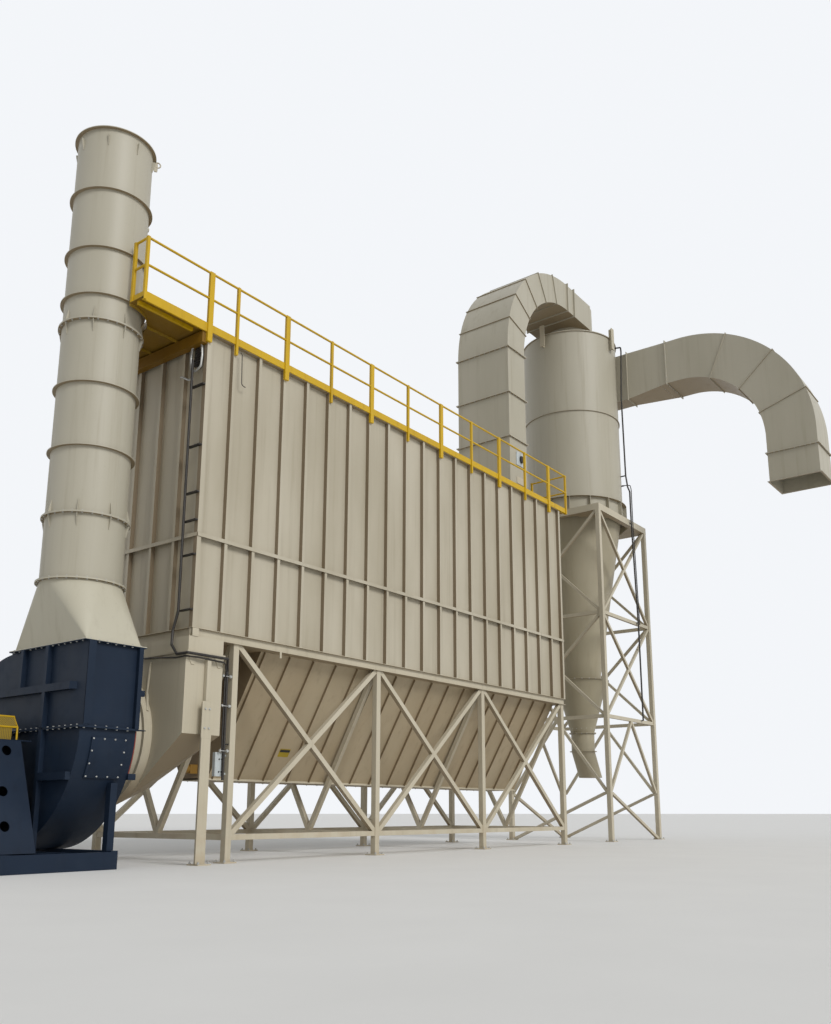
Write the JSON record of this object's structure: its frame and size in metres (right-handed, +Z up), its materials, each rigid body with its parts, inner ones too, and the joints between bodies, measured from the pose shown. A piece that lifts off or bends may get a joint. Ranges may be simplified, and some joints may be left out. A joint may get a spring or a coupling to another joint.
{
  "type": "baghouse dust collector",
  "caption": "Pulse-jet baghouse on a braced frame with trough hopper, exhaust fan and stack, roof railing, crossover duct and a knock-out cyclone on its own tower",
  "frame": {"origin": "the centre of the underside of the first front column's base plate, on the floor", "axes": "+X from the fan end to the cyclone end, +Y from front to back, +Z up"},
  "size_m": [22.572, 9.5076, 17.32],
  "materials": {
    "beige_paint": "semi-gloss paint with dust streaks",
    "navy_paint": "semi-gloss dark blue paint",
    "safety_yellow": "gloss yellow paint",
    "bare_steel": "turned steel",
    "frame_steel": "painted plate",
    "dark_conduit": "weathered conduit",
    "grey_enclosure": "powder coat"
  },
  "bodies": {
    "root": {"base_plates": "frame_steel", "frame_columns": "beige_paint", "front_bracing": "beige_paint", "rear_bracing": "beige_paint", "cross_bracing": "beige_paint", "plenum_legs": "beige_paint", "perimeter_beam": "beige_paint", "front_wall": "beige_paint", "rear_wall": "beige_paint", "near_end_wall": "beige_paint", "far_end_wall": "beige_paint", "roof": "beige_paint", "roof_hatches": "beige_paint", "hopper_front_slope": "beige_paint", "hopper_rear_slope": "beige_paint", "hopper_ends": "beige_paint", "screw_trough": "beige_paint", "screw_drive": "beige_paint", "plenum_neck": "beige_paint", "fan_plenum": "beige_paint", "fan_inlet_cone": "beige_paint", "fan_scroll_upper": "navy_paint", "fan_scroll_lower": "navy_paint", "fan_hatch": "navy_paint", "fan_base_frame": "navy_paint", "fan_supports": "navy_paint", "fan_pedestal": "navy_paint", "fan_shaft": "bare_steel", "fan_guard": "safety_yellow", "fan_motor": "navy_paint", "stack_transition": "beige_paint", "stack_lower": "beige_paint", "stack_middle": "beige_paint", "stack_upper": "beige_paint", "front_railing": "safety_yellow", "rear_railing": "safety_yellow", "end_railings": "safety_yellow", "end_platform": "safety_yellow", "end_platform_beam": "safety_yellow", "far_ledge_deck": "safety_yellow", "crossover_riser": "beige_paint", "crossover_elbow": "beige_paint", "cyclone_roof": "beige_paint", "cyclone_barrel": "beige_paint", "cyclone_cone": "beige_paint", "cyclone_skirt": "beige_paint", "cyclone_discharge": "beige_paint", "tower_legs": "beige_paint", "tower_front_bracing": "beige_paint", "tower_rear_bracing": "beige_paint", "tower_near_bracing": "beige_paint", "tower_far_bracing": "beige_paint", "tower_top_frame": "beige_paint", "inlet_duct": "beige_paint", "gooseneck_elbow": "beige_paint", "gooseneck_tail": "beige_paint", "wall_conduit": "dark_conduit", "junction_box": "grey_enclosure"}
  },
  "joints": []
}
